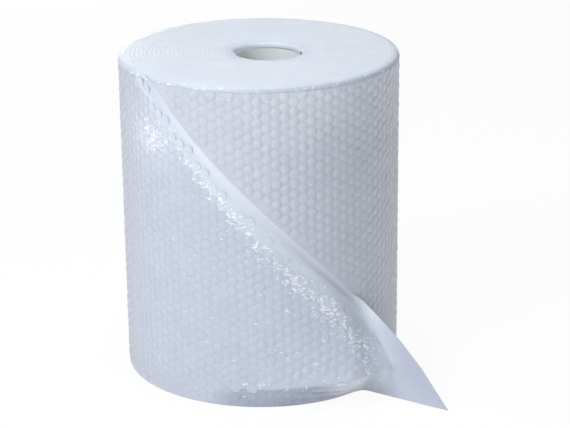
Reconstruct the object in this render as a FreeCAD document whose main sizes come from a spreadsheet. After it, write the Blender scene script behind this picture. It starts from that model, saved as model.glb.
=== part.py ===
# A bubble wrap roll standing on end: a coreless spiral of film with a round centre hole,
# and the loose end of its outer turn, cut at 45 degrees, lifting away to a tip on the floor.
# Millimetres. +Z is up, the origin is on the hole's axis at the floor, and -Y is the front.
import FreeCAD, Part
import Sketcher
import math
import os

doc = FreeCAD.newDocument("bubble_wrap_roll")
V = FreeCAD.Vector

# Sizes. Angles are in degrees about the roll's own axis, from +X towards +Y. The roll is made about
# that axis, and moved to the left by hole_shift at the end, so that the hole's axis is the origin's.
sheet = doc.addObject("Spreadsheet::Sheet", "sizes")
sizes = {
    "web_width": 400,              # width of the film, so the roll's height
    "roll_radius": 170,            # outside of the last full turn, measured on its front half
    "hole_radius": 41,             # round hole left by the winding spindle
    "hole_shift": 10,              # how far the roll has settled sideways round its hole
    "film_thickness": 5,           # film with its bubbles; the turns are wound at this pitch
    "edge_depth": 1.6,             # valley between two turns where they meet the end of the roll
    "trim": 6,                     # height over the web that the turn edges are trimmed from
    "inner_dip": 2,                # how far the innermost turns sit below the rest
    "dip_width": 24,               # distance from the hole over which they dip
    "rim_drop": 2.5,               # how far the outermost turn's edge rolls over
    "rim_width": 12.5,             # distance from the outside over which it does
    "root_depth": 20,              # how deep the loose turn is rooted in the roll where it lies on it
    "clear_lift": 6,               # lift from which the film has its own thickness
    "lift_span": 48,               # angle over which the film rises to its ridge
    "part_angle": -46,             # where its hem parts from the roll at the floor
    "wall_angle": -33,             # heading of the free corner from there to the tip
    "wall_length": 119,            # length of the free corner's hem, to the tip
    "crease_height": 26,           # the crease over the tucked-in hem, at the roll's axis
    "crease_rise": 0.11,           # how much it rises over its distance to the right
    "crease_ridge_angle": -58,
    "crease_ridge_lift": 40,       # how far the film stands off the roll at the crease
    "crease_valley": 44,           # where the free corner turns flat, from the parting point
    "shoulder_height": 84,         # level half way up the free corner
    "shoulder_ridge_angle": -56,
    "shoulder_ridge_lift": 22,
    "shoulder_valley": 14,
    "edge_bow": 9,                 # how far the free corner's cut edge bows outwards
    "ridge_lift": 15,              # height of the ridge beside the free edge, level with the cut's corner
    "ridge_fade": 50,              # height over which the ridge sinks to a third
    "ridge_reach": 17,             # distance from the free edge to the ridge at the top
}
for row, (name, value) in enumerate(sizes.items(), start=1):
    sheet.set(f"A{row}", name)
    sheet.set(f"B{row}", str(value))
    sheet.setAlias(f"B{row}", name)
doc.recompute()


def size(name):
    """The value of one cell of the sheet."""
    return float(getattr(sheet, name))


R = size("roll_radius")
PITCH = size("film_thickness")
HEIGHT = size("web_width")
HOLE = size("hole_radius")
INNER = HOLE - size("hole_shift") - PITCH      # inside all of the hole, which is cut at the end


def origin_plane(body, role):
    """One of the body's own origin planes."""
    return next(plane for plane in body.Origin.OriginFeatures if plane.Role == role)


# The wound body, a little too tall until its turn edges are trimmed. A spiral grows by half a pitch each half turn, so its front
# half turns about the roll's axis and its back half about a second one, half a pitch to the left.
core = doc.addObject("PartDesign::Body", "wound_body")


def half_profile(name, axis_shift):
    """Rectangle from inside the hole to the last turn, with a construction line as its own axis."""
    sketch = core.newObject("Sketcher::SketchObject", name)
    sketch.AttachmentSupport = [(origin_plane(core, "XZ_Plane"), "")]
    sketch.MapMode = "FlatFace"
    top = HEIGHT + size("trim")
    corners = [V(INNER, 0, 0), V(R, 0, 0), V(R, top, 0), V(INNER, top, 0)]
    for k in range(4):
        sketch.addGeometry(Part.LineSegment(corners[k], corners[(k + 1) % 4]), False)
    for k in range(4):
        sketch.addConstraint(Sketcher.Constraint("Coincident", k, 2, (k + 1) % 4, 1))
    for k in (0, 2):
        sketch.addConstraint(Sketcher.Constraint("Horizontal", k))
    for k in (1, 3):
        sketch.addConstraint(Sketcher.Constraint("Vertical", k))
    sketch.addConstraint(Sketcher.Constraint("PointOnObject", 0, 1, -1))
    bound = [("inner", ("DistanceX", -1, 1, 0, 1, INNER),
              "sizes.hole_radius - sizes.hole_shift - sizes.film_thickness"),
             ("outer", ("DistanceX", -1, 1, 0, 2, R), "sizes.roll_radius"),
             ("top", ("DistanceY", 1, 1, 1, 2, top), "sizes.web_width + sizes.trim")]
    if axis_shift:
        line = Part.LineSegment(V(-PITCH / 2, 0, 0), V(-PITCH / 2, top, 0))
        sketch.addGeometry(line, True)
        sketch.addConstraint(Sketcher.Constraint("Vertical", 4))
        sketch.addConstraint(Sketcher.Constraint("PointOnObject", 4, 1, -1))
        sketch.addConstraint(Sketcher.Constraint("Equal", 4, 1))
        bound.append(("shift", ("DistanceX", 4, 1, -1, 1, PITCH / 2), "sizes.film_thickness / 2"))
    for label, constraint, expression in bound:
        index = sketch.addConstraint(Sketcher.Constraint(*constraint))
        sketch.renameConstraint(index, label)
        sketch.setExpression(f"Constraints.{label}", expression)
    doc.recompute()
    return sketch


def half_turns(name, sketch, axis, backwards):
    """Half a revolution of the profile, as one half of every turn."""
    feature = core.newObject("PartDesign::Revolution", name)
    feature.Profile = sketch
    feature.ReferenceAxis = (sketch, [axis])
    feature.Angle = 180
    feature.Reversed = backwards
    doc.recompute()
    core.Tip = feature
    return feature


front = half_turns("front_half_turns", half_profile("front_profile", False), "V_Axis", True)
back = half_turns("back_half_turns", half_profile("back_profile", True), "Axis0", False)


def crest_height(radius):
    """Height of a turn's edge: level, lower towards the hole and rolled over at the rim."""
    near_hole = min(1.0, max(0.0, 1 - (radius - HOLE) / size("dip_width")))
    near_rim = max(0.0, 1 - (R - radius) / size("rim_width"))
    return HEIGHT - size("inner_dip") * near_hole ** 2 - size("rim_drop") * near_rim ** 2


def over_half(centre_x, sweep):
    """Half of what is trimmed from the top, with a zigzag under it that rounds off each turn's edge."""
    turns = math.ceil((R - INNER) / PITCH)
    inner, outer = R - turns * PITCH, R + PITCH
    above = HEIGHT + 2 * size("trim")
    points = [V(inner, 0, above), V(outer, 0, above), V(outer, 0, crest_height(R) - size("edge_depth"))]
    for turn in range(turns):
        side = R - turn * PITCH
        crest = side - PITCH / 2
        points.append(V(side, 0, crest_height(side) - size("edge_depth")))
        points.append(V(crest, 0, crest_height(crest)))
    points.append(V(inner, 0, crest_height(inner) - size("edge_depth")))
    profile = Part.Face(Part.makePolygon(points + points[:1]))
    return profile.revolve(V(centre_x, 0, 0), V(0, 0, 1), sweep)


over = doc.addObject("Part::Feature", "over_the_turns")
over.Shape = over_half(0, -180).fuse(over_half(-PITCH / 2, 180))
wound_turns = doc.addObject("Part::Cut", "wound_turns")
wound_turns.Base = core
wound_turns.Tool = over


# The loose end. Its turn goes on from the spiral's outer step, and every plan line of it has the same
# number of straight steps, so that lofts between heights keep ridge, valley and free edge in line.
START_ANGLE = -180
WOUND_STEPS = 5
LIFTED_STEPS = 5


def plan(angle, radius, height):
    """Point at an angle and distance from the roll's axis."""
    turn = math.radians(angle)
    return V(radius * math.cos(turn), radius * math.sin(turn), height)


def on_wall(distance, height):
    """Point on the free corner's straight part, at a distance from where the hem parts from the roll."""
    foot = plan(size("part_angle"), R + PITCH, height)
    return foot + plan(size("wall_angle"), distance, 0)


def cut_angle(height):
    """Angle of the free edge on the roll, where the 45 degree cut takes as much length as height."""
    return size("part_angle") - math.degrees((height - size("wall_length")) / R)


def between(first, last, share):
    """Value part of the way from one to the other."""
    return first + (last - first) * share


def section(height, ridge, tail):
    """Plan line of the film's outer side at a height: wound, then lifting to the ridge, then its tail."""
    leave = max(ridge[0] - size("lift_span"), between(START_ANGLE, ridge[0], 0.5))
    points = []
    for step in range(WOUND_STEPS):
        angle = between(START_ANGLE, leave, step / WOUND_STEPS)
        points.append(plan(angle, R + PITCH, height))
    for step in range(LIFTED_STEPS + 1):
        share = step / LIFTED_STEPS
        points.append(plan(between(leave, ridge[0], share), R + PITCH + ridge[1] * share ** 2, height))
    return points + tail


def film_wire(points, rise=0):
    """Closed outline of the film at one height, as thick as film where it stands clear of the roll."""
    inner = []
    for before, point, after in zip(points[:1] + points, points, points[1:] + points[-1:]):
        along = V(after.x - before.x, after.y - before.y, 0).normalize()
        if point is points[0]:
            along = V(0, -1, 0)
        clear = math.hypot(point.x, point.y) > R + PITCH + size("clear_lift")
        depth = PITCH if clear else size("root_depth")
        inner.append(point + V(-along.y, along.x, -rise * along.y) * depth)
    return Part.makePolygon(points + inner[::-1] + points[:1])


def level(height, ridge, valley, rise=0):
    """Section that ends on the free corner, level or rising to the right."""
    foot = on_wall(0, height)
    along = plan(size("wall_angle"), 1, 0)
    end = (size("wall_length") - height - rise * foot.x) / (1 + rise * along.x)
    end += 4 * size("edge_bow") * (1 - end / size("wall_length")) * end / size("wall_length")
    tail = [on_wall(between(valley, end, share), height) for share in (0, 0.15, 1)]
    return [V(point.x, point.y, height + rise * point.x) for point in section(height, ridge, tail)]


def wound_level(height):
    """Section where the free edge lies on the roll, beside a ridge that fades upwards."""
    edge = cut_angle(height)
    fade = math.exp((size("wall_length") - height) / size("ridge_fade"))
    reach = math.degrees(size("ridge_reach") / R) * (1 + fade)
    tail = [plan(edge - 0.6 * reach, R + PITCH + size("ridge_lift") * fade / 2, height),
            plan(edge - 0.3 * reach, R + PITCH, height),
            plan(edge, R + PITCH, height)]
    return section(height, (edge - reach, size("ridge_lift") * fade), tail)


hem = level(0, (size("part_angle") - 14, 0), 0)
crease = level(size("crease_height"), (size("crease_ridge_angle"), size("crease_ridge_lift")),
               size("crease_valley"), size("crease_rise"))
shoulder = level(size("shoulder_height"), (size("shoulder_ridge_angle"), size("shoulder_ridge_lift")),
                 size("shoulder_valley"))
top = HEIGHT - size("rim_drop")
wound = [wound_level(between(size("wall_length"), top, share)) for share in (0.05, 0.35, 0.68, 1)]
crease_wire = film_wire(crease, size("crease_rise"))

# The fold at the crease is sharp, so the strip under it and the film above it are lofts of their own.
tucked = doc.addObject("Part::Feature", "tucked_strip")
tucked.Shape = Part.makeLoft([film_wire(hem), crease_wire], True, True)
loose = doc.addObject("Part::Feature", "lifted_film")
above = [crease_wire] + [film_wire(points) for points in [shoulder] + wound]
loose.Shape = Part.makeLoft(above, True, False, False, 3)

# Everything is one web of film, so it becomes one solid, and then the spindle's hole goes through.
solid = doc.addObject("Part::MultiFuse", "all_turns")
solid.Shapes = [wound_turns, tucked, loose]
solid.Refine = True
solid.Placement.Base = V(-size("hole_shift"), 0, 0)
hole = doc.addObject("Part::Cylinder", "centre_hole")
hole.setExpression("Radius", "sizes.hole_radius")
hole.setExpression("Height", "sizes.web_width + 20")
hole.Placement.Base = V(0, 0, -10)
roll = doc.addObject("Part::Cut", "bubble_wrap_roll")
roll.Base = solid
roll.Tool = hole
doc.recompute()

for item in doc.Objects:
    item.Label = item.Name
    bad = {"Invalid", "Error"} & set(item.State)
    if bad:
        raise RuntimeError(f"{item.Name} is {bad}")
    shape = getattr(item, "Shape", None)
    if item.isDerivedFrom("Part::Feature") and (shape is None or shape.isNull() or not shape.isValid()):
        raise RuntimeError(f"{item.Name} has no valid shape")
if len(roll.Shape.Solids) != 1 or solid.Shape.Volume < wound_turns.Shape.Volume:
    raise RuntimeError(f"the roll is {len(roll.Shape.Solids)} solids of {roll.Shape.Volume:.0f} mm3")
os.makedirs("parts", exist_ok=True)
roll.Shape.exportStep("parts/bubble_wrap_roll.step")
print("volume", round(roll.Shape.Volume), "box", roll.Shape.BoundBox)
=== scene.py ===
import logging
import math
from dataclasses import dataclass, field
from enum import Enum
from functools import partial

import bpy
import numpy as np
from mathutils import Matrix, Vector


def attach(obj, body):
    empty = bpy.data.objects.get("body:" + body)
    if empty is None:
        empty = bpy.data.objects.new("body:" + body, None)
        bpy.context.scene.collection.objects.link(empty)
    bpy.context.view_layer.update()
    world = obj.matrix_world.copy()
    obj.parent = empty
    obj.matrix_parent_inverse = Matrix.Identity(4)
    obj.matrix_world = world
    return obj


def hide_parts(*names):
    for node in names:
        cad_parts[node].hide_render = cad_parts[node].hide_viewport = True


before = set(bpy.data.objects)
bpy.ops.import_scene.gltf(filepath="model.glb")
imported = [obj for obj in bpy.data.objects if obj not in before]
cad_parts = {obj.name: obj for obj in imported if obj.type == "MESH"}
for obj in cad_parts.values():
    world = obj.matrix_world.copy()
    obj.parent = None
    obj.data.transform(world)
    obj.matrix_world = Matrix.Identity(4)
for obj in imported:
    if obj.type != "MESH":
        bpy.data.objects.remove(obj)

BODY = "root"
NODE = "bubble_wrap_roll"
SHARP_ANGLE = math.radians(50)
WHITE = (1.0, 1.0, 1.0, 1.0)
log = logging.getLogger(NODE)

Pair = tuple[float, float]
Triple = tuple[float, float, float]
Array = np.ndarray
Socket, Tree = bpy.types.NodeSocket, bpy.types.NodeTree
Thing, Material = bpy.types.Object, bpy.types.Material


class Piece(Enum):
    """The pieces that are built here, by their names in the scene."""

    ROLL = "wound_film"
    EDGES = "turn_edges"
    ROLL_BUBBLES = "wound_film_bubbles"
    LOOSE = "loose_end"
    LOOSE_BUBBLES = "loose_end_bubbles"


class Graph:
    """A node tree under construction, with short ways to add nodes and join them."""

    def __init__(self, tree: Tree) -> None:
        """Starts from an empty tree."""
        self.tree = tree
        tree.nodes.clear()

    def add(self, kind: str, settings: dict | None = None, numbered: dict | None = None,
            **inputs: object) -> bpy.types.Node:
        """Adds a node, sets its properties and fills its inputs.

        Args:
            kind: The node's type name.
            settings: Properties of the node itself.
            numbered: Values or output sockets by input number.
            inputs: Values or output sockets by input name, with _ for a space.

        Returns:
            The new node.
        """
        node = self.tree.nodes.new(kind)
        for name, value in (settings or {}).items():
            setattr(node, name, value)
        named = {name.replace("_", " "): value for name, value in inputs.items()}
        for key, value in {**(numbered or {}), **named}.items():
            self.put(node, key, value)
        return node

    def put(self, node: bpy.types.Node, key: str | int, value: object) -> None:
        """Gives one input of a node a value, or joins an output socket to it.

        Args:
            node: The node.
            key: The input's number, or its name among the inputs that are in use.
            value: The value or output socket.
        """
        if isinstance(key, str):
            key = next(at for at, socket in enumerate(node.inputs)
                       if socket.name == key and socket.enabled)
        if isinstance(value, Socket):
            self.tree.links.new(value, node.inputs[key])
        else:
            node.inputs[key].default_value = value

    def math(self, operation: str, *values: object) -> Socket:
        """Does arithmetic on one value, or on two or more in turn.

        Args:
            operation: The Math node's operation.
            values: Numbers or output sockets.

        Returns:
            The result.
        """
        result, *others = values
        for other in others or [None]:
            inputs = {0: result} if other is None else {0: result, 1: other}
            result = self.add("ShaderNodeMath", {"operation": operation}, inputs).outputs[0]
        return result


def node_group(name: str, values: dict[str, object]) -> tuple[Graph, object]:
    """Starts a Geometry Nodes tree that takes a geometry and gives one back.

    Args:
        name: The tree's name.
        values: What its other inputs will be given, by name.

    Returns:
        The tree, and its inputs by name.
    """
    tree = bpy.data.node_groups.new(name, "GeometryNodeTree")
    for way in ("INPUT", "OUTPUT"):
        tree.interface.new_socket("Geometry", in_out=way, socket_type="NodeSocketGeometry")
    for title, value in values.items():
        kind = {int: "Int", float: "Float"}.get(type(value), "Material")
        tree.interface.new_socket(title, in_out="INPUT", socket_type=f"NodeSocket{kind}")
    g = Graph(tree)
    return g, g.add("NodeGroupInput").outputs


def end_group(g: Graph, geometry: Socket, film: Socket) -> Tree:
    """Ends a Geometry Nodes tree in real geometry with its material.

    Args:
        g: The tree.
        geometry: What it has made.
        film: The material.

    Returns:
        The finished tree.
    """
    real = g.add("GeometryNodeRealizeInstances", Geometry=geometry)
    dressed = g.add("GeometryNodeSetMaterial", Geometry=real.outputs[0], Material=film)
    g.add("NodeGroupOutput", Geometry=dressed.outputs[0])
    return g.tree


@dataclass(frozen=True)
class FilmFinish:
    """Clear polyethylene film over trapped air, which looks milky and cold white in many layers.

    Two numbers on the mesh's points steer it: tone is painted light and shade, paler or darker, and
    glint is how crinkled its skin is, deepening its bump, with painted highlights as white flecks."""

    name: str
    shade: Triple = (0.505, 0.53, 0.59)
    light: Triple = (0.595, 0.615, 0.675)
    cloud_scale: float = 38.0
    roughness: float = 0.40
    roughness_swing: Pair = (-0.1, 0.12)
    gloss: float = 0.5
    gloss_roughness: float = 0.12
    index: float = 1.5
    milk: float = 0.3
    milk_depth: float = 0.0015
    crinkle_size: float = 0.0040
    crinkle_depth: float = 0.0004
    crinkle_range: Pair = (0.3, 0.7)
    dent_strength: float = 0.7
    glint_depth: float = 2.0
    painted_glint_colour: Triple = (0.95, 0.97, 1.0)
    fleck_size: Triple = (0.0054, 0.0054, 0.0030)
    painted_glint_cover: float = 0.72
    fleck_bar: float = 0.73
    fleck_edge: float = 0.04
    clump_scale: float = 60.0
    clump_pull: float = 0.12
    glint_pull: float = 0.22

    def material(self) -> Material:
        """Builds the finish: a milky, mottled body that light soaks into, with painted light, shade
        and glints in its colour, under a crinkled skin.

        Returns:
            The material.
        """
        made = bpy.data.materials.new(self.name)
        made.use_nodes = True
        g = Graph(made.node_tree)
        noise = partial(g.add, "ShaderNodeTexNoise")
        place = g.add("ShaderNodeTexCoord").outputs["Object"]
        tone, glint = (g.add("ShaderNodeAttribute", {"attribute_name": name}).outputs["Fac"]
                       for name in ("tone", "glint"))
        cloud = noise(Vector=place, Scale=self.cloud_scale, Detail=4.0, Roughness=0.6)
        # Colour: random mottle plus the tone number, which is painted light and shade.
        mottle_and_painted_light = g.add("ShaderNodeMix", {"data_type": "RGBA", "clamp_factor": False}, {
            0: g.math("ADD", cloud.outputs["Fac"], tone), 6: (*self.shade, 1.0),
            7: (*self.light, 1.0)})
        # Painted highlights: short white flecks mixed into the colour where the glint number is
        # high.
        stretched = g.add("ShaderNodeVectorMath", {"operation": "DIVIDE"},
                          {0: place, 1: self.fleck_size})
        fleck = noise(Vector=stretched.outputs[0], Scale=1.0, Detail=2.5, Roughness=0.65,
                      Distortion=0.6)
        clump = noise(Vector=place, Scale=self.clump_scale, Detail=1.0)
        bar = g.math("ADD", self.fleck_bar,
                     g.math("MULTIPLY", clump.outputs["Fac"], self.clump_pull))
        bar = g.math("SUBTRACT", bar, g.math("MULTIPLY", glint, self.glint_pull))
        painted_glint_mask = g.add("ShaderNodeMapRange", Value=g.math("SUBTRACT", fleck.outputs["Fac"], bar),
                       From_Min=0.0, From_Max=self.fleck_edge)
        painted_glints = g.add("ShaderNodeMix", {"data_type": "RGBA"}, {
            0: g.math("MULTIPLY", painted_glint_mask.outputs[0], self.painted_glint_cover), 6: mottle_and_painted_light.outputs[2],
            7: (*self.painted_glint_colour, 1.0)})
        fine = noise(Vector=place, Scale=1 / self.crinkle_size, Detail=3.0, Roughness=0.55,
                     Distortion=0.8).outputs["Fac"]
        low, high = self.roughness_swing
        spread = g.add("ShaderNodeMapRange", Value=fine, From_Min=self.crinkle_range[0],
                       From_Max=self.crinkle_range[1], To_Min=self.roughness + low,
                       To_Max=self.roughness + high)
        dents = g.add("ShaderNodeBump", Height=fine, Strength=self.dent_strength,
                      Distance=self.crinkle_depth)
        depth = g.math("ADD", g.math("MULTIPLY", glint, self.glint_depth), 1.0)
        sharp = g.add("ShaderNodeBump", Height=g.math("MULTIPLY", fine, depth), Strength=1.0,
                      Distance=2 * self.crinkle_depth)
        skin = g.add("ShaderNodeBsdfPrincipled", Base_Color=painted_glints.outputs[2],
                     Roughness=spread.outputs[0], Normal=dents.outputs[0], Coat_Weight=self.gloss,
                     Coat_Roughness=self.gloss_roughness, Coat_Normal=sharp.outputs[0],
                     IOR=self.index, Subsurface_Weight=self.milk,
                     Subsurface_Radius=(1.0, 1.0, 1.0), Subsurface_Scale=self.milk_depth)
        g.add("ShaderNodeOutputMaterial", Surface=skin.outputs[0])
        return made


def ramp(values: Array, start: float, end: float) -> Array:
    """Share from 0 at the start to 1 at the end, which may be the lower of the two."""
    return np.clip((values - start) / (end - start), 0, 1)


def hill(values: Array, middle: Array | float, width: Array | float) -> Array:
    """Bell curve, which is 1 at the middle and about a third one width away."""
    return np.exp(-((values - middle) / width) ** 2)


def run_along(line: Array) -> Array:
    """Distance of each point of a line from its first point, along the line."""
    return np.concatenate([[0], np.cumsum(np.linalg.norm(np.diff(line, axis=0), axis=1))])


def read_at(places: Array | float, keys: Array, rows: Array) -> Array:
    """Rows of three numbers read at places between their keys."""
    return np.stack([np.interp(places, keys, rows[:, k]) for k in range(3)], -1)


def plain_mesh(name: str, points: Array, faces: list[tuple[int, ...]],
               finish: Material | None = None) -> Thing:
    """Makes a smooth-shaded object at the origin from points and faces.

    Args:
        name: The object's name.
        points: Corner positions, one row each.
        faces: Corner numbers of each face.
        finish: The material, if it has one.

    Returns:
        The object, linked to the scene.
    """
    mesh = bpy.data.meshes.new(name)
    mesh.from_pydata(points.reshape(-1, 3).tolist(), [], faces)
    mesh.validate()
    if finish:
        mesh.materials.append(finish)
    mesh.shade_smooth()
    made = bpy.data.objects.new(name, mesh)
    bpy.context.scene.collection.objects.link(made)
    return made


def mark(made: Thing, **numbers: Array) -> None:
    """Puts numbers on the points of a mesh, such as the film's tone and glint.

    Args:
        made: The object.
        numbers: One number for each point, by the attribute's name.
    """
    for name, values in numbers.items():
        attribute = made.data.attributes.new(name, "FLOAT", "POINT")
        attribute.data.foreach_set("value", values.astype(np.float32).ravel())


def grid_faces(rows: int, columns: int, ring: bool = False) -> list[tuple[int, ...]]:
    """Four-cornered faces of a grid of points.

    Args:
        rows: Number of rows.
        columns: Points in each row.
        ring: Whether the last column joins the first.

    Returns:
        Corner numbers of each face.
    """
    faces = []
    for row in range(rows - 1):
        for column in range(columns if ring else columns - 1):
            a, b = row * columns + column, row * columns + (column + 1) % columns
            faces.append((a, b, b + columns, a + columns))
    return faces


def settled(made: Thing, tree: Tree, values: dict[str, object]) -> None:
    """Runs a Geometry Nodes tree on an object and keeps the result as its plain mesh.

    Args:
        made: The object, which keeps its name.
        tree: The tree.
        values: The tree's inputs by name, with the finish as Film.
    """
    modifier = made.modifiers.new("nodes", "NODES")
    modifier.node_group = tree
    for item in tree.interface.items_tree:
        if item.item_type == "SOCKET" and item.in_out == "INPUT" and item.name in values:
            modifier[item.identifier] = values[item.name]
    graph = bpy.context.evaluated_depsgraph_get()
    result = bpy.data.meshes.new_from_object(made.evaluated_get(graph))
    made.modifiers.remove(modifier)
    made.data = result
    result.materials.clear()
    result.materials.append(values["Film"])
    slots = np.zeros(len(result.polygons), dtype=np.int32)
    result.polygons.foreach_set("material_index", slots)
    result.name = made.name


@dataclass
class Web:
    """The film's web and how it is wound. Its distance runs backwards from the left of the roll.

    The roll has settled sideways round its hole, so its own axis lies left of the hole's."""

    width: float = 0.400
    shift: float = 0.010
    radius: float = 0.170
    hole: float = 0.041
    pitch: float = 0.005
    bubble_base: float = 0.0007
    inner_dip: float = 0.002
    dip_width: float = 0.024
    rim_drop: float = 0.0025
    rim_width: float = 0.0125
    rim_round: float = 0.0040

    @property
    def brim(self) -> float:
        """Height where the outer side ends and the rim's rounding starts."""
        return self.width - self.rim_drop - self.rim_round

    @property
    def behind(self) -> float:
        """Length of the last turn's back half."""
        return math.pi * (self.radius + self.pitch / 2)

    def settle(self, points: Array) -> Array:
        """Moves points from the roll's own axis to their place round the hole's axis."""
        return points - np.array([self.shift, 0.0, 0.0])

    def wound(self, back: Array, height: Array,
              sink: float = 0.0) -> tuple[Array, Array]:
        """Place and outward direction on the last full turn, from the roll's own axis.

        Args:
            back: Distance along the web, from the left of the roll round its back.
            height: Height on the web.
            sink: Distance inside the roll's outer surface.

        Returns:
            Points and directions, one row each.
        """
        half = self.pitch / 2
        on_back = back <= self.behind
        angle = np.where(on_back, math.pi - back / (self.radius + half),
                         -(back - self.behind) / self.radius)
        reach = np.where(on_back, self.radius + half, self.radius) - sink
        middle = np.where(on_back, -half, 0.0)
        out = np.stack([np.cos(angle), np.sin(angle), np.zeros_like(angle)], -1)
        points = np.stack([middle + reach * out[..., 0], reach * out[..., 1], height], -1)
        return points, out


@dataclass
class BubbleField:
    """Rows of air bubbles in a staggered pattern, set on the film by place and direction."""

    finish: Material
    width: float = 0.0124
    rise: float = 0.0011
    fullness: float = 2.0
    lift: float = 0.0001
    along: float = 0.01083
    across: float = 0.0125
    sides: int = 10
    rings: int = 6
    smallest: Triple = (0.93, 0.93, 0.65)
    largest: Triple = (1.03, 1.03, 1.2)
    seed: int = 11

    def start(self, column: int) -> float:
        """Height of a column's first bubble, half a step lower in every other one."""
        return (0.5 if column % 2 else 1.0) * self.across

    def tree(self, values: dict[str, object]) -> Tree:
        """Builds the node tree that stands a flattened dome on each point.

        Args:
            values: What its inputs will be given.

        Returns:
            The tree.
        """
        g, given = node_group("bubbles", values)
        m = g.math
        ball = g.add("GeometryNodeMeshUVSphere", Segments=given["Sides"], Rings=self.rings,
                     Radius=1.0)
        place = g.add("ShaderNodeSeparateXYZ", Vector=g.add("GeometryNodeInputPosition").outputs[0])
        across, deep, up = place.outputs
        half = g.add("GeometryNodeDeleteGeometry", {"domain": "POINT"},
                     Geometry=ball.outputs["Mesh"], Selection=m("LESS_THAN", up, -0.01))
        reach = m("MULTIPLY", given["Width"], 0.5)
        height = m("MULTIPLY", m("POWER", m("MAXIMUM", up, 0.0), given["Fullness"]), given["Rise"])
        spot = g.add("ShaderNodeCombineXYZ", X=m("MULTIPLY", across, reach),
                     Y=m("MULTIPLY", deep, reach), Z=m("ADD", height, self.lift))
        dome = g.add("GeometryNodeSetPosition", Geometry=half.outputs[0], Position=spot.outputs[0])
        smooth = g.add("GeometryNodeSetShadeSmooth", Geometry=dome.outputs[0])
        facing = g.add("GeometryNodeInputNamedAttribute", {"data_type": "FLOAT_VECTOR"},
                       Name="facing")
        turned = g.add("FunctionNodeAlignRotationToVector", {"axis": "Z"},
                       Vector=facing.outputs["Attribute"])
        size = g.add("FunctionNodeRandomValue", {"data_type": "FLOAT_VECTOR"},
                     {0: self.smallest, 1: self.largest}, Seed=given["Seed"])
        swell = g.add("GeometryNodeInputNamedAttribute", {"data_type": "FLOAT"}, Name="swell")
        tall = g.add("ShaderNodeCombineXYZ", X=1.0, Y=1.0, Z=swell.outputs["Attribute"])
        scale = g.add("ShaderNodeVectorMath", {"operation": "MULTIPLY"},
                      {0: size.outputs[0], 1: tall.outputs[0]})
        placed = g.add("GeometryNodeInstanceOnPoints", Points=given["Geometry"],
                       Instance=smooth.outputs[0], Rotation=turned.outputs[0],
                       Scale=scale.outputs[0])
        return end_group(g, placed.outputs[0], given["Film"])

    def build(self, piece: Piece, points: Array, facing: Array, swell: Array,
              tone: Array, glint: Array) -> Thing:
        """Sets the bubbles on their places.

        Args:
            piece: Which piece they are.
            points: Places on the film.
            facing: Outward direction of the film there.
            swell: How full each bubble stands, as a share of its rise.
            tone: How much paler or darker the film is painted there, as painted light and shade.
            glint: How crinkled the film's skin is there, which also sets its painted glints.

        Returns:
            The bubbles as one object.
        """
        made = plain_mesh(piece.value, points, [])
        made.data.attributes.new("facing", "FLOAT_VECTOR", "POINT").data.foreach_set(
            "vector", facing.astype(np.float32).ravel())
        mark(made, swell=swell, tone=tone, glint=glint)
        values = {"Width": self.width, "Rise": self.rise, "Fullness": self.fullness,
                  "Sides": self.sides, "Seed": self.seed, "Film": self.finish}
        settled(made, self.tree(values), values)
        return made


@dataclass(frozen=True)
class LoosePaintedLight:
    """Where the loose end's film has painted light and shade, paler or darker than its finish, and
    where it is more crinkled, with painted glints.

    A fade is where something starts and where it is full. Heights are above the floor, angles are
    round the roll's own axis, and away is the distance from where the hem parts from the roll,
    along the free corner. A curve is a pair of keys and values."""

    band_width: tuple[Triple, Triple] = ((0.0, 0.18, 0.33), (0.040, 0.036, 0.020))
    # Painted light: the smooth band beside the cut edge is made paler where it faces away from the
    # lamps.
    band_painted_light: float = 2.0
    band_edge: float = 0.015
    band_fade: Pair = (0.42, 0.32)
    band_strength: tuple[Triple, Triple] = ((0.05, 0.09, 0.17), (0.4, 0.9, 1.0))
    # Painted shade: the flat free corner, which faces the key lamp, is made darker.
    corner_painted_shade: float = -0.85
    corner_away: Pair = (0.02, 0.06)
    corner_fade: Pair = (0.13, 0.10)
    crease_edge: float = 0.004
    # Painted light: the nook where the free corner leaves the roll is made paler against the shade
    # in it.
    nook_painted_light: float = 1.6
    nook_away: tuple[Pair, Pair] = ((-0.005, 0.005), (0.045, 0.035))
    # Painted shade: the strip under the crease, in the shadow of the lifted flap, is made darker.
    tuck_painted_shade: float = -1.6
    tuck_away: Pair = (-0.005, -0.015)
    tuck_turn: Pair = (-113.0, -103.0)
    patch_place: Pair = (-138.0, 0.328)
    patch_size: Pair = (14.0, 0.034)
    # Painted sheen: a paler streak beside the ridge's upper end and a paler patch up on the flap.
    patch_painted_sheen: float = 1.2
    patch_glint: float = 1.3
    streak: Pair = (0.004, 0.010)
    streak_fade: Pair = (0.2, 0.26)
    ridge_width: tuple[Pair, Pair] = ((0.06, 0.26), (0.036, 0.016))
    # Painted light: the ridge, where the film bends up towards the light, is made paler.
    ridge_painted_light: float = 0.5
    ridge_tone_place: Pair = (0.2, 0.6)
    ridge_tone_fade: Pair = (0.30, 0.22)
    # Painted highlights: these glints paint white flecks along the ridge, at the patch, along the
    # crease and over the flap, and deepen the crinkle bump there.
    ridge_glint: tuple[Pair, Pair] = ((0.08, 0.2), (1.22, 1.16))
    ridge_glint_place: float = 0.65
    ridge_glint_fade: Pair = (0.37, 0.31)
    crease_glint: float = 0.9
    crease_glint_place: Pair = (0.006, 0.010)
    flap_glint: tuple[Pair, Pair] = ((-140.0, -75.0), (0.42, 0.58))


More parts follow.
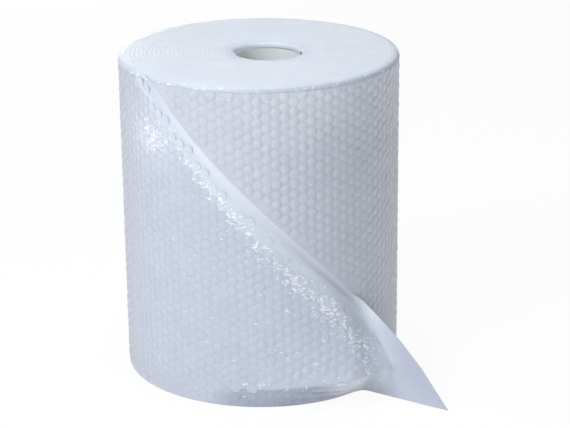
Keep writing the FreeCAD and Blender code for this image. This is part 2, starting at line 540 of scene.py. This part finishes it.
@dataclass
class LooseEnd:
    """The loose end of the outer turn: wound on the left, lifted to a ridge beside its cut edge,
    creased and tucked under along its hem, with a flat free corner that runs to a tip."""

    web: Web
    finish: Material
    look: LoosePaintedLight = LoosePaintedLight()
    part_angle: float = -46.0
    wall_angle: float = -33.0
    wall_length: float = 0.119
    crease_height: float = 0.026
    crease_rise: float = 0.11
    crease_ridge: Pair = (-58.0, 0.040)
    crease_valley: float = 0.044
    shoulder_height: float = 0.084
    shoulder_ridge: Pair = (-56.0, 0.022)
    shoulder_valley: float = 0.014
    edge_bow: float = 0.009
    ridge_lift: float = 0.015
    ridge_fade: float = 0.050
    ridge_reach: float = 0.017
    lift_span: float = 48.0
    hem_turn: float = 14.0
    upper_start: float = 1.12
    upper_levels: int = 16
    brim_overlap: float = 0.0015
    brim_sink: float = 0.0008
    thickness: float = 0.0034
    edge_thickness: float = 0.0007
    thin_width: float = 0.030
    free_sink: float = 0.0005
    roll_gap: float = 0.0009
    clear_fade: Pair = (0.001, 0.006)
    floor_gap: float = 0.0002
    bare_share: float = 0.85
    swell: Pair = (0.2, 0.5)
    margin: float = 0.006
    columns: int = 130
    rows_above: int = 76
    rows_below: int = 7
    fine_steps: int = 400
    rows: Array = field(init=False)

    def __post_init__(self) -> None:
        """Works out the film's outer side as a grid of points."""
        self.rows = self.surface()

    @property
    def reach(self) -> float:
        """Distance of the film's base from the roll's axis where it lies on the roll."""
        return self.web.radius + self.web.pitch - self.web.bubble_base

    def plan(self, angle: Array | float, radius: Array | float) -> Array:
        """Points in plan at angles and distances from the roll's axis."""
        turn = np.radians(angle)
        return np.stack(np.broadcast_arrays(radius * np.cos(turn), radius * np.sin(turn)), -1)

    def on_wall(self, distance: Array | float) -> Array:
        """Points on the free corner's straight part, from where the hem parts from the roll."""
        foot = self.plan(self.part_angle, self.reach)
        return foot + self.plan(self.wall_angle, np.asarray(distance, float))

    def away(self, points: Array) -> Array:
        """Distance of points along the free corner, from where the hem parts from the roll."""
        return (points[..., :2] - self.on_wall(0.0)) @ self.plan(self.wall_angle, 1.0)

    def section(self, ridge: Pair, tail: Array) -> Array:
        """Plan line: wound, then lifting to the ridge, then its tail.

        Args:
            ridge: The ridge's angle and how far it stands off the roll.
            tail: The plan points after the ridge.

        Returns:
            The same number of plan points for every height.
        """
        leave = max(ridge[0] - self.lift_span, (ridge[0] - 180) / 2)
        wound = self.plan(np.linspace(-180, leave, 24, endpoint=False), self.reach)
        share = np.linspace(0, 1, 25)
        lifted = self.plan(leave + (ridge[0] - leave) * share, self.reach + ridge[1] * share ** 2)
        return np.vstack([wound, lifted, tail])

    def level(self, height: float, ridge: Pair, valley: float, rise: float = 0.0) -> Array:
        """Section that ends on the free corner, level or rising to the right.

        Args:
            height: Its height at the roll's axis.
            ridge: The ridge's angle and lift.
            valley: Where the free corner turns flat, from the parting point.
            rise: How much it rises over its distance to the right.

        Returns:
            Points in space.
        """
        foot, along = self.on_wall(0.0), self.plan(self.wall_angle, 1.0)
        end = (self.wall_length - height - rise * foot[0]) / (1 + rise * along[0])
        end += 4 * self.edge_bow * (1 - end / self.wall_length) * end / self.wall_length
        tail = self.on_wall(valley + (end - valley) * np.array([0, 0.15, 1.0]))
        flat = self.section(ridge, tail)
        return np.column_stack([flat, height + rise * flat[:, 0]])

    def wound_level(self, height: float) -> Array:
        """Section where the cut edge lies on the roll, beside a ridge that fades upwards.

        Args:
            height: Its height, above the free corner.

        Returns:
            Points in space.
        """
        edge = self.part_angle - math.degrees((height - self.wall_length) / self.web.radius)
        fade = math.exp((self.wall_length - height) / self.ridge_fade)
        reach = math.degrees(self.ridge_reach / self.web.radius) * (1 + fade)
        tail = self.plan(edge - reach * np.array([0.6, 0.3, 0.0]),
                         self.reach + self.ridge_lift * fade * np.array([0.5, 0.0, 0.0]))
        flat = self.section((edge - reach, self.ridge_lift * fade), tail)
        return np.column_stack([flat, np.full(len(flat), height)])

    def surface(self) -> Array:
        """The film's outer side, from the hem up over the crease to the top.

        Returns:
            Rows of points in space, each row evenly spaced and softened along the web.
        """
        top = self.web.brim + self.brim_overlap
        hem = self.level(0.0, (self.part_angle - self.hem_turn, 0.0), 0.0)
        upper = np.linspace(self.wall_length * self.upper_start, top, self.upper_levels)
        heights = np.concatenate([[self.crease_height, self.shoulder_height], upper])
        levels = np.array([
            self.level(self.crease_height, self.crease_ridge, self.crease_valley, self.crease_rise),
            self.level(self.shoulder_height, self.shoulder_ridge, self.shoulder_valley),
            *(self.wound_level(height) for height in upper)])
        wanted = np.linspace(heights[0], top, self.rows_above)
        above = self.through(heights, levels, wanted)
        share = np.linspace(0, 1, self.rows_below, endpoint=False)[:, None, None]
        below = hem * (1 - share) + above[0] * share
        return np.array([self.softened(row) for row in np.concatenate([below, above])])

    def through(self, keys: Array, values: Array, wanted: Array) -> Array:
        """Smooth curve through values at keys, read at other keys.

        Args:
            keys: Rising keys.
            values: The rows of points at the keys.
            wanted: Where the curve is read.

        Returns:
            The rows of points there.
        """
        slope = np.gradient(values, keys, axis=0)
        k = np.clip(np.searchsorted(keys, wanted, side="right") - 1, 0, len(keys) - 2)
        step = keys[k + 1] - keys[k]
        t = ((wanted - keys[k]) / step)[:, None, None]
        step = step[:, None, None]
        return ((2 * t ** 3 - 3 * t ** 2 + 1) * values[k]
                + (t ** 3 - 2 * t ** 2 + t) * step * slope[k]
                + (3 * t ** 2 - 2 * t ** 3) * values[k + 1]
                + (t ** 3 - t ** 2) * step * slope[k + 1])

    def softened(self, row: Array, reach: float = 0.006) -> Array:
        """Spaces one row evenly and rounds its corners over a few millimetres.

        Args:
            row: The row's points.
            reach: How far the rounding reaches.

        Returns:
            The new points, as many as the grid has columns.
        """
        run = run_along(row)
        even = np.linspace(0, run[-1], self.fine_steps)
        fine = read_at(even, run, row)
        step = even[1]
        pad = int(3 * reach / step)
        weights = np.exp(-0.5 * (np.arange(-pad, pad + 1) * step / reach) ** 2)
        weights /= weights.sum()
        before = 2 * fine[0] - fine[pad:0:-1]
        after = 2 * fine[-1] - fine[-2:-pad - 2:-1]
        long = np.vstack([before, fine, after])
        soft = np.stack([np.convolve(long[:, k], weights, "valid") for k in range(3)], -1)
        at = np.linspace(0, self.fine_steps - 1, self.columns)
        return read_at(at, np.arange(self.fine_steps), soft)

    def facing(self, rows: Array) -> Array:
        """Outward directions of a grid of points."""
        out = np.cross(np.gradient(rows, axis=1), np.gradient(rows, axis=0))
        return out / np.maximum(np.linalg.norm(out, axis=-1, keepdims=True), 1e-9)

    def split_facing(self) -> Array:
        """Outward directions of the film, sharp at the crease."""
        n = self.rows_below
        return np.concatenate([self.facing(self.rows[:n + 1])[:n], self.facing(self.rows[n:])])

    def build(self) -> Thing:
        """Makes the film as a closed thin sheet that thins out to its cut edge.

        Returns:
            The sheet.
        """
        rows, out, left = self.rows, self.split_facing(), self.edge_distance(self.rows)
        count, wide = rows.shape[:2]
        outer, thin = self.pressed(rows, out, left)
        depth = self.edge_thickness + (self.thickness - self.edge_thickness) * thin
        inner = outer - out * depth[..., None]
        inner[..., 2] = np.clip(inner[..., 2], self.floor_gap, None)
        faces = grid_faces(count, wide)
        total = count * wide
        faces += [tuple(total + k for k in face[::-1]) for face in faces]
        border = [*range(wide), *range(2 * wide - 1, total, wide),
                  *range(total - 2, total - wide - 1, -1), *range(total - 2 * wide, 0, -wide)]
        for a, b in zip(border, border[1:] + border[:1]):
            faces.append((b, a, total + a, total + b))
        points = self.web.settle(np.concatenate([outer.reshape(-1, 3), inner.reshape(-1, 3)]))
        made = plain_mesh(Piece.LOOSE.value, points, faces, self.finish)
        made.data.set_sharp_from_angle(angle=SHARP_ANGLE)
        tone, glint = self.dress(rows, left)
        mark(made, tone=np.tile(tone.ravel(), 2), glint=np.tile(glint.ravel(), 2))
        return made

    def pressed(self, rows: Array, out: Array,
                left: Array) -> tuple[Array, Array]:
        """The film's outer side where it thins out and lies down on the roll at its cut edge.

        Args:
            rows: The film's full-thickness outer side.
            out: Its outward directions.
            left: Distances from the cut edge.

        Returns:
            The pressed points, and the share of the full thickness that is left.
        """
        share = np.clip(left / self.thin_width, 0, 1)
        thin = share ** 2 * (3 - 2 * share)
        clear = ramp(np.hypot(rows[..., 0], rows[..., 1]) - self.reach, *self.clear_fade)
        sunk = (1 - thin) * (self.free_sink + (self.web.pitch - self.roll_gap) * (1 - clear))
        sunk += ramp(rows[..., 2] - self.web.brim, 0, self.brim_overlap) * self.brim_sink
        return rows - out * sunk[..., None], thin

    def edge_distance(self, rows: Array) -> Array:
        """Distance of each point of the rows from the cut edge, along its row."""
        run = np.linalg.norm(np.diff(rows, axis=1), axis=2).sum(1)
        return run[:, None] * (1 - np.linspace(0, 1, rows.shape[1]))[None]

    def band(self, height: Array) -> Array:
        """Width of the smooth band beside the cut edge, which narrows towards the top."""
        return np.interp(height, *self.look.band_width)

    def dress(self, points: Array, left: Array) -> tuple[Array, Array]:
        """Painted light and shade (tone) and glint of the film at points.

        Args:
            points: Places on the film, from the roll's own axis.
            left: Their distances from the cut edge.

        Returns:
            How much paler or darker the film is painted, as painted light and shade, and how
            crinkled, which also sets its painted glints.
        """
        look, height, away = self.look, points[..., 2], self.away(points)
        angle = np.degrees(np.arctan2(points[..., 1], points[..., 0]))
        past = left - self.band(height)
        smooth = ramp(-past, 0, look.band_edge) * ramp(height, *look.band_fade)
        corner = ramp(away, *look.corner_away) * ramp(height, *look.corner_fade)
        crease = self.crease_height + self.crease_rise * points[..., 0]
        below = ramp(crease - height, 0, look.crease_edge)
        nook = below * ramp(away, *look.nook_away[0]) * ramp(away, *look.nook_away[1])
        tucked = ramp(angle, *look.tuck_turn)
        under = below * ramp(away, *look.tuck_away) * tucked
        patch = (hill(angle, look.patch_place[0], look.patch_size[0])
                 * hill(height, look.patch_place[1], look.patch_size[1]))
        streak = hill(past, *look.streak) * ramp(height, *look.streak_fade)
        wide = np.interp(height, *look.ridge_width)
        place, spread = look.ridge_tone_place
        # Painted light and shade: the band, nook, streak, patch and ridge are made paler, the free
        # corner and the tucked strip darker.
        tone = (look.band_painted_light * smooth * np.interp(height, *look.band_strength) * (1 - corner)
                + look.corner_painted_shade * corner * (1 - nook) + look.nook_painted_light * nook
                + look.tuck_painted_shade * under + look.patch_painted_sheen * np.maximum(streak, patch)
                + look.ridge_painted_light * hill(past, place * wide, spread * wide)
                * ramp(height, *look.ridge_tone_fade))
        # Painted highlights: where the glint number is high the finish paints white flecks, and
        # deepens the crinkle bump.
        ridge = (np.interp(height, *look.ridge_glint) * ramp(height, *look.ridge_glint_fade)
                 * hill(past, look.ridge_glint_place * wide, wide))
        place, spread = look.crease_glint_place
        low = look.crease_glint * hill(height, self.crease_height + place, spread) * tucked
        flap = np.interp(angle, *look.flap_glint) * (1 - smooth)
        glint = np.maximum.reduce([ridge, look.patch_glint * patch, low, flap])
        return tone, glint * (1 - corner)

    def bubble_places(self, bubbles: BubbleField) -> tuple[Array, ...]:
        """Places of the bubbles on the film above and below the crease.

        Args:
            bubbles: The pattern.

        Returns:
            Places, outward directions, and each bubble's swell, tone and glint.
        """
        places, ways, far_left = [], [], []
        out = self.split_facing()
        skin = self.pressed(self.rows, out, self.edge_distance(self.rows))[0]
        n, margin = self.rows_below, self.margin
        runs = np.linalg.norm(np.diff(self.rows, axis=1), axis=2).sum(1)
        for column in range(1, int(runs.max() / bubbles.along)):
            s = column * bubbles.along
            line, way = self.at_distance(skin, runs, s), self.at_distance(out, runs, s)
            start = bubbles.start(column)
            upright = np.hypot(*(line[0] - line[n])[:2]) < margin
            parts = [(slice(0, None), True)]
            if not upright:
                parts = [(slice(n, None), True), (slice(0, n + 1), False)]
            for part, by_height in parts:
                inside = runs[part] - margin > s
                if inside.sum() < 2:
                    continue
                spine, facing = line[part][inside], way[part][inside]
                far = spine[:, 2] if by_height else run_along(spine)
                spots = np.arange(start, bubbles.width + self.web.width, bubbles.across)
                if not by_height:
                    spots = spots - start + 0.5 * bubbles.width
                low = far[0] + (0.5 * bubbles.width if upright else margin)
                for spot in spots[(spots > low) & (spots < far[-1] - 0.9 * margin)]:
                    point = read_at(spot, far, spine)
                    left = np.interp(spot, far, runs[part][inside]) - s
                    bare = self.on_free_corner(point)
                    if not bare and left > self.bare_share * self.band(point[2]):
                        places.append(point)
                        ways.append(read_at(spot, far, facing))
                        far_left.append(left)
        points, left = np.array(places), np.array(far_left)
        band = self.band(points[:, 2])
        swell = self.swell[0] + self.swell[1] * np.clip(left / band - self.bare_share, 0, 1)
        return self.web.settle(points), np.array(ways), swell, *self.dress(points, left)

    def at_distance(self, rows: Array, runs: Array, s: float) -> Array:
        """Values of every row at one distance along the web."""
        steps = np.linspace(0, 1, self.columns)
        return np.array([read_at(min(s / run, 1.0), steps, row) for row, run in zip(rows, runs)])

    def on_free_corner(self, point: Array) -> bool:
        """Whether a point lies on the flat free corner, where the film is pulled smooth."""
        return self.away(point) > self.crease_valley * 0.6 and point[2] < self.wall_length


@dataclass
class WoundRoll:
    """The wound turns: their outer side, the hole's wall, the underside and the turn edges.

    A profile is pairs of a height and how far the side is drawn in there."""

    web: Web
    finish: Material
    edge_finish: Material
    # The hole's finish is a paler, greener copy of the film: painted light against the shade in the
    # hole.
    hole_lightened_finish: Material
    hole_round: float = 0.005
    hole_rows: int = 14
    steps: int = 288
    rows: int = 26
    foot_profile: tuple[Pair, ...] = ((0.0, 0.0022), (0.0015, 0.0006))
    side_ends: Pair = (0.004, 0.003)
    brim_profile: tuple[Pair, ...] = ((0.0, 0.0), (0.0015, 0.0006), (0.003, 0.002))
    edge_steps: int = 150
    across: int = 7
    edge_relief: float = 0.00018
    hump_power: float = 0.6
    end_angle: float = -140.7
    end_taper: float = 0.03
    least_taper: float = 0.02
    ripple: float = 0.0016
    ripple_scale: float = 95.0
    sideways: float = 0.8
    # Painted shade: the rim's rounding is made darker against the light that falls on it; its glint
    # paints white flecks there.
    rim_painted_shade: float = -1.5
    rim_glint: float = 0.9
    rim_power: float = 1.5
    # Painted shade: the film round the hole is made darker, where shade falls into the hole.
    throat_painted_shade: float = -1.2
    # Painted light: the film below the rim on the right side is made paler, as if lit from the top.
    shoulder_painted_light: float = 1.5
    shoulder_depth: float = 0.09
    shoulder_power: float = 1.2
    shoulder_turn: Pair = (-98.0, -72.0)
    bubble_swell: float = 0.8
    # Painted highlights: white glint flecks on the roll's bubbles, more of them near the front
    # brim.
    bubble_glint: float = 0.35
    brim_glint: float = 0.5
    brim_width: float = 0.012
    seed: int = 5

    def body(self) -> Thing:
        """Makes the outer side, the underside, the hole's wall and the top as one closed skin.

        Returns:
            The skin, whose hole has its own paler finish, painted light against the shade in the
            hole.
        """
        web = self.web
        front = math.pi * web.radius
        back = np.concatenate([np.linspace(0, web.behind, self.steps // 2, endpoint=False),
                               web.behind + np.linspace(0, front, self.steps // 2)])
        foot, brim = np.array(self.foot_profile), np.array(self.brim_profile)
        low, high = self.side_ends[0], web.brim - self.side_ends[1]
        heights = np.concatenate([foot[:, 0], np.linspace(low, high, self.rows),
                                  web.brim + brim[:, 0]])
        sinks = np.concatenate([foot[:, 1], np.zeros(self.rows), brim[:, 1]]) + web.bubble_base
        own = np.array([web.wound(back, np.full_like(back, height), sink)[0]
                        for height, sink in zip(heights, sinks)])
        wall = web.settle(own)
        angle = np.arctan2(wall[0, :, 1], wall[0, :, 0])
        inner = np.stack([web.hole * np.cos(angle), web.hole * np.sin(angle)], -1)
        top = web.width - web.inner_dip - self.hole_round
        levels = np.array([np.column_stack([inner, np.full(len(inner), height)])
                           for height in np.linspace(top, 0, self.hole_rows)])
        grid = np.concatenate([levels, wall])
        total = len(grid) * len(back)
        faces = [tuple(corner % total for corner in face[::-1])
                 for face in grid_faces(len(grid) + 1, len(back), ring=True)]
        made = plain_mesh(Piece.ROLL.value, grid, faces, self.finish)
        made.data.materials.append(self.hole_lightened_finish)
        slots = np.zeros(len(faces), dtype=np.int32)
        slots[:(self.hole_rows - 1) * len(back)] = 1
        made.data.polygons.foreach_set("material_index", slots)
        made.data.set_sharp_from_angle(angle=SHARP_ANGLE)
        # Painted light below the rim on the outer side; the hole's wall gets none.
        tone = np.zeros(grid.shape[:2])
        tone[len(levels):] = self.painted_brim_glow(own)
        mark(made, tone=tone)
        return made

    def painted_brim_glow(self, points: Array) -> Array:
        """Painted light on the film below the rim, paler on the right side as if light from the top
        soaked in.

        Args:
            points: Places on the outer side, from the roll's own axis.

        Returns:
            How much paler the film is painted at each point.
        """
        angle = np.degrees(np.arctan2(points[..., 1], points[..., 0]))
        depth = ramp(self.web.brim - points[..., 2], self.shoulder_depth, 0)
        side = np.interp(angle, self.shoulder_turn, (0.0, 1.0))
        return self.shoulder_painted_light * depth ** self.shoulder_power * side

    def edge_tree(self, values: dict[str, object]) -> Tree:
        """Builds the node tree that winds a humped strip into the turn edges on top.

        Args:
            values: What its inputs will be given.

        Returns:
            The tree.
        """
        g, given = node_group("turn_edges", values)
        m = g.math
        plus, minus, times, over, above, below, most, least = (partial(m, kind) for kind in (
            "ADD", "SUBTRACT", "MULTIPLY", "DIVIDE", "GREATER_THAN", "LESS_THAN", "MINIMUM",
            "MAXIMUM"))
        hole, pitch, turns = given["Hole"], given["Pitch"], given["Turns"]
        strip = g.add("GeometryNodeMeshGrid", Size_X=1.0, Size_Y=1.0,
                      Vertices_X=plus(times(turns, given["Steps"]), 1), Vertices_Y=given["Across"])
        flat = g.add("ShaderNodeSeparateXYZ", Vector=g.add("GeometryNodeInputPosition").outputs[0])

        # Where a point is: its turn, the part of that turn, and its place across the strip. The
        # front half turns go round the roll's axis, and the back ones round one half a pitch off.
        at = times(plus(flat.outputs["X"], 0.5), turns)
        whole = m("FLOOR", plus(at, 1e-5))
        part = minus(at, whole)
        front = above(part, 0.50001)
        angle = times(part, 2 * math.pi)
        cosine, sine = m("COSINE", angle), m("SINE", angle)
        share = plus(flat.outputs["Y"], 0.5)
        half = times(pitch, 0.5)
        inner = plus(hole, times(minus(plus(whole, share), 1.0), pitch))
        outer = plus(hole, times(m("FLOOR", turns), pitch))

        def tapered(left: Socket) -> Socket:
            """How much of the strip's width is left at a share of a turn before its end."""
            eased = over(left, given["End Taper"])
            return m("SQRT", most(1.0, least(self.least_taper, eased)))

        # The last turn narrows to nothing at its end, and the roll's reach with it.
        last = times(front, above(plus(whole, 0.5), m("FLOOR", turns)))
        pulled = times(last, minus(1.0, tapered(minus(turns, at))), share, pitch)
        reach = minus(plus(inner, half, times(front, half)), pulled)
        end = m("FRACT", turns)
        before_end = times(front, below(part, end))
        full = plus(outer, times(minus(1.0, front), half),
                    times(before_end, tapered(minus(end, part)), pitch))
        moved = most(over(minus(inner, hole), minus(outer, hole)), 1.0)
        centre = minus(times(minus(front, 1.0), half), times(moved, given["Shift"]))

        # Heights: a hump for each turn with a ripple, the dip at the hole and the rolled rim.
        cell = g.add("ShaderNodeCombineXYZ", X=times(cosine, reach), Y=times(sine, reach),
                     Z=times(given["Seed"], 0.37))
        wobble = g.add("ShaderNodeTexNoise", Vector=cell.outputs[0], Scale=self.ripple_scale,
                       Detail=2.0, Roughness=0.6)
        sway = times(minus(wobble.outputs["Fac"], 0.5), given["Ripple"])
        middle = minus(1.0, m("ABSOLUTE", minus(times(share, 2.0), 1.0)))
        hump = times(minus(m("POWER", middle, self.hump_power), 1.0), given["Valley"])
        near_hole = least(0.0, minus(1.0, over(minus(reach, hole), given["Dip Width"])))
        near_rim = least(0.0, minus(1.0, over(minus(full, reach), given["Rim Width"])))
        dip = times(near_hole, near_hole)
        drop = plus(times(dip, given["Dip"]), times(near_rim, near_rim, given["Rim Drop"]),
                    self.rounding(g, minus(full, reach), given["Rim Round"]),
                    self.rounding(g, minus(reach, hole), given["Hole Round"]))
        height = minus(plus(minus(given["Height"], drop), hump), m("ABSOLUTE", sway))
        wide = least(plus(reach, times(sway, self.sideways, m("CEIL", middle))), hole)
        spot = g.add("ShaderNodeCombineXYZ", X=plus(centre, times(cosine, wide)),
                     Y=times(sine, wide), Z=height)

        # Painted shade on the rolled rim and round the throat at the hole, and painted glints on
        # the rim.
        rim = m("POWER", near_rim, self.rim_power)
        tone = plus(times(rim, given["Rim Painted Shade"]), times(dip, given["Throat Painted Shade"]))
        mesh = strip.outputs["Mesh"]
        for name, value in (("tone", tone), ("glint", times(rim, given["Rim Glint"]))):
            mesh = g.add("GeometryNodeStoreNamedAttribute", {"data_type": "FLOAT"}, Geometry=mesh,
                         Name=name, Value=value).outputs[0]
        wound = g.add("GeometryNodeSetPosition", Geometry=mesh, Position=spot.outputs[0])
        joined = g.add("GeometryNodeMergeByDistance", Geometry=wound.outputs[0], Distance=1e-5)
        upwards = g.add("GeometryNodeFlipFaces", Mesh=joined.outputs[0])
        smooth = g.add("GeometryNodeSetShadeSmooth", Geometry=upwards.outputs[0])
        return end_group(g, smooth.outputs[0], given["Film"])

    def rounding(self, g: Graph, distance: Socket, radius: Socket) -> Socket:
        """Works out how far a round corner falls at a distance from its side.

        Args:
            g: The tree.
            distance: The distance from the side.
            radius: The corner's radius.

        Returns:
            The fall.
        """
        share = g.math("MAXIMUM", 0.0, g.math("SUBTRACT", 1.0, g.math("DIVIDE", distance, radius)))
        share = g.math("MINIMUM", share, 1.0)
        level = g.math("SQRT", g.math("SUBTRACT", 1.0, g.math("MULTIPLY", share, share)))
        return g.math("MULTIPLY", radius, g.math("SUBTRACT", 1.0, level))

    def edges(self) -> Thing:
        """Makes the turn edges, one wound strip with a hump for each turn.

        Returns:
            The strip.
        """
        web = self.web
        turns = round((web.radius - web.hole) / web.pitch)
        made = plain_mesh(Piece.EDGES.value, np.zeros((1, 3)), [])
        values = {
            "Hole": web.radius - turns * web.pitch, "Pitch": web.pitch,
            "Turns": turns + 0.5 + (180 + self.end_angle) / 360,
            "Steps": self.edge_steps, "Across": self.across, "Height": web.width,
            "Valley": self.edge_relief, "Dip": web.inner_dip, "Dip Width": web.dip_width,
            "Rim Drop": web.rim_drop, "Rim Width": web.rim_width, "Rim Round": web.rim_round,
            "Hole Round": self.hole_round, "Shift": web.shift, "End Taper": self.end_taper,
            "Ripple": self.ripple, "Rim Painted Shade": self.rim_painted_shade, "Rim Glint": self.rim_glint,
            "Throat Painted Shade": self.throat_painted_shade, "Seed": self.seed, "Film": self.edge_finish}
        settled(made, self.edge_tree(values), values)
        return made

    def bubble_places(self, bubbles: BubbleField, loose: LooseEnd) -> tuple[Array, ...]:
        """Places of the bubbles on the outer side, but not under the loose end.

        Args:
            bubbles: The pattern.
            loose: The loose end that covers the rest.

        Returns:
            Places, outward directions, and each bubble's swell, tone and glint.
        """
        web = self.web
        back, height = [], []
        for column in range(int((web.behind + math.pi * web.radius) / bubbles.along)):
            s = column * bubbles.along
            angle = -math.degrees((s - web.behind) / web.radius)
            top = web.brim - 0.3 * bubbles.width
            for spot in np.arange(bubbles.start(column), top, bubbles.across):
                over = (spot - loose.wall_length) / web.radius
                cut = loose.part_angle - (8 if over <= 0 else math.degrees(over) - 1.5)
                if s < web.behind or angle > cut:
                    back.append(s)
                    height.append(spot)
        places, ways = web.wound(np.array(back), np.array(height), web.bubble_base)
        in_front = ways[:, 1] < -0.3
        # Painted highlights: glint flecks on the front bubbles near the brim, and a few everywhere.
        glint = hill(places[:, 2], web.brim, self.brim_width) * in_front * self.brim_glint
        return (web.settle(places), ways, np.full(len(back), self.bubble_swell),
                self.painted_brim_glow(places), glint + self.bubble_glint)


@dataclass(frozen=True)
class Lamp:
    """A soft round lamp that points at the middle of the roll."""

    name: str
    place: Triple
    size: float
    power: float
    aim: Triple = (0.0, 0.0, 0.2)

    def hang(self) -> None:
        """Adds the lamp to the scene."""
        lamp = bpy.data.lights.new(self.name, "AREA")
        lamp.shape = "DISK"
        lamp.size, lamp.energy = self.size, self.power
        made = bpy.data.objects.new(self.name, lamp)
        made.location = self.place
        way = Vector(self.aim) - Vector(self.place)
        made.rotation_euler = way.to_track_quat("-Z", "Y").to_euler()
        bpy.context.scene.collection.objects.link(made)


@dataclass
class Studio:
    """Floor, soft lights, white background and the camera at the photograph's angle."""

    focal_px: float = 1965.36
    frame_px: int = 570
    sensor: float = 36.0
    far_clip: float = 50.0
    pitch: float = 0.33792
    roll: float = 0.01034
    place: Triple = (0.01777, -2.34073, 1.00868)
    floor: float = 8.0
    floor_colour: Triple = (0.88, 0.89, 0.90)
    floor_white: float = 0.93
    sky_colour: Triple = (0.84, 0.92, 1.0)
    sky_power: float = 0.36
    lamps: tuple[Lamp, ...] = (
        Lamp("key", (-1.6, -1.5, 1.9), 1.0, 38.0), Lamp("top", (-0.1, 0.0, 2.6), 0.9, 28.0),
        Lamp("back", (-0.6, 2.6, 0.30), 0.6, 9.0), Lamp("front", (-0.5, -2.9, 1.2), 1.2, 16.0))

    def camera(self) -> None:
        """Sets up the camera."""
        lens = bpy.data.cameras.new("camera")
        lens.sensor_fit = "HORIZONTAL"
        lens.sensor_width = self.sensor
        lens.lens = self.sensor * self.focal_px / self.frame_px
        lens.clip_end = self.far_clip
        made = bpy.data.objects.new("camera", lens)
        ahead = Vector((0, math.cos(self.pitch), -math.sin(self.pitch)))
        above = Vector((0, math.sin(self.pitch), math.cos(self.pitch)))
        right = Vector((1, 0, 0))
        level = right * math.cos(self.roll) - above * math.sin(self.roll)
        upright = above * math.cos(self.roll) + right * math.sin(self.roll)
        axes = Matrix((level, upright, -ahead)).transposed().to_4x4()
        made.matrix_world = Matrix.Translation(self.place) @ axes
        bpy.context.scene.collection.objects.link(made)
        bpy.context.scene.camera = made

    def seen_by(self, g: Graph, *rays: str) -> Socket:
        """Finds out whether something is seen by one of the kinds of rays.

        Args:
            g: The material's or world's tree.
            rays: Outputs of the Light Path node.

        Returns:
            1 where it is, else 0.
        """
        way = g.add("ShaderNodeLightPath").outputs
        return g.math("MINIMUM", g.math("ADD", *(way[ray] for ray in rays)), 1.0)

    def ground(self) -> None:
        """Makes the pale floor, which the camera sees as nearly white with a faint shadow."""
        half = self.floor
        corners = np.array([[-half, -half, 0], [half, -half, 0], [half, half, 0], [-half, half, 0]])
        made = plain_mesh("floor", corners, [(0, 1, 2, 3)])
        pale = bpy.data.materials.new("pale_floor")
        pale.use_nodes = True
        g = Graph(pale.node_tree)
        seen = self.seen_by(g, "Is Camera Ray", "Is Glossy Ray", "Is Transmission Ray")
        matt = g.add("ShaderNodeBsdfDiffuse", Color=(*self.floor_colour, 1.0))
        white = g.add("ShaderNodeEmission", Color=WHITE, Strength=1.0)
        mixed = g.add("ShaderNodeMixShader", None, {
            0: g.math("MULTIPLY", seen, self.floor_white), 1: matt.outputs[0], 2: white.outputs[0]})
        g.add("ShaderNodeOutputMaterial", Surface=mixed.outputs[0])
        made.data.materials.append(pale)

    def sky(self) -> None:
        """Sets the pale world, which the camera sees as white."""
        world = bpy.data.worlds.new("pale_world")
        bpy.context.scene.world = world
        world.use_nodes = True
        g = Graph(world.node_tree)
        seen = self.seen_by(g, "Is Camera Ray", "Is Transmission Ray")
        cool = g.add("ShaderNodeBackground", Color=(*self.sky_colour, 1.0),
                     Strength=self.sky_power)
        white = g.add("ShaderNodeBackground", Color=WHITE, Strength=1.0)
        mixed = g.add("ShaderNodeMixShader", None,
                      {0: seen, 1: cool.outputs[0], 2: white.outputs[0]})
        g.add("ShaderNodeOutputWorld", Surface=mixed.outputs[0])

    def build(self) -> None:
        """Sets up everything that isn't part of the object."""
        self.camera()
        self.ground()
        self.sky()
        for lamp in self.lamps:
            lamp.hang()


def place_on_roll(made: Thing) -> None:
    """Lets a piece ride on the roll's body and logs its number of faces.

    Args:
        made: The piece.
    """
    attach(made, BODY)
    log.info("%s: %d faces", made.name, len(made.data.polygons))


def main() -> None:
    """Builds every piece in order."""
    logging.basicConfig(level=logging.INFO)
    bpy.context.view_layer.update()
    bpy.context.scene.view_settings.view_transform = "Standard"
    Studio().build()
    film = FilmFinish("bubble_film").material()
    edge = FilmFinish("film_edges", shade=(0.60, 0.635, 0.70), light=(0.70, 0.73, 0.785),
                      roughness=0.5, gloss=0.2).material()
    thin = FilmFinish("loose_film", shade=(0.465, 0.495, 0.585),
                      light=(0.55, 0.58, 0.665)).material()
    # Painted light: a paler copy of the film for the hole's wall, lifting the shade that falls in
    # the hole.
    hole = FilmFinish("hole_film_painted_light", shade=(0.77, 0.80, 0.80), light=(0.84, 0.87, 0.86),
                      gloss=0.1).material()
    web = Web()
    bubbles = BubbleField(film)
    loose_bubbles = BubbleField(thin, seed=23)
    loose = LooseEnd(web, thin)
    roll = WoundRoll(web, film, edge, hole)

    body = roll.body()
    place_on_roll(body)
    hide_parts(NODE)
    place_on_roll(roll.edges())
    place_on_roll(bubbles.build(Piece.ROLL_BUBBLES, *roll.bubble_places(bubbles, loose)))
    sheet = loose.build()
    place_on_roll(sheet)
    dots = loose_bubbles.build(Piece.LOOSE_BUBBLES, *loose.bubble_places(loose_bubbles))
    place_on_roll(dots)


if __name__ == "__main__":
    main()
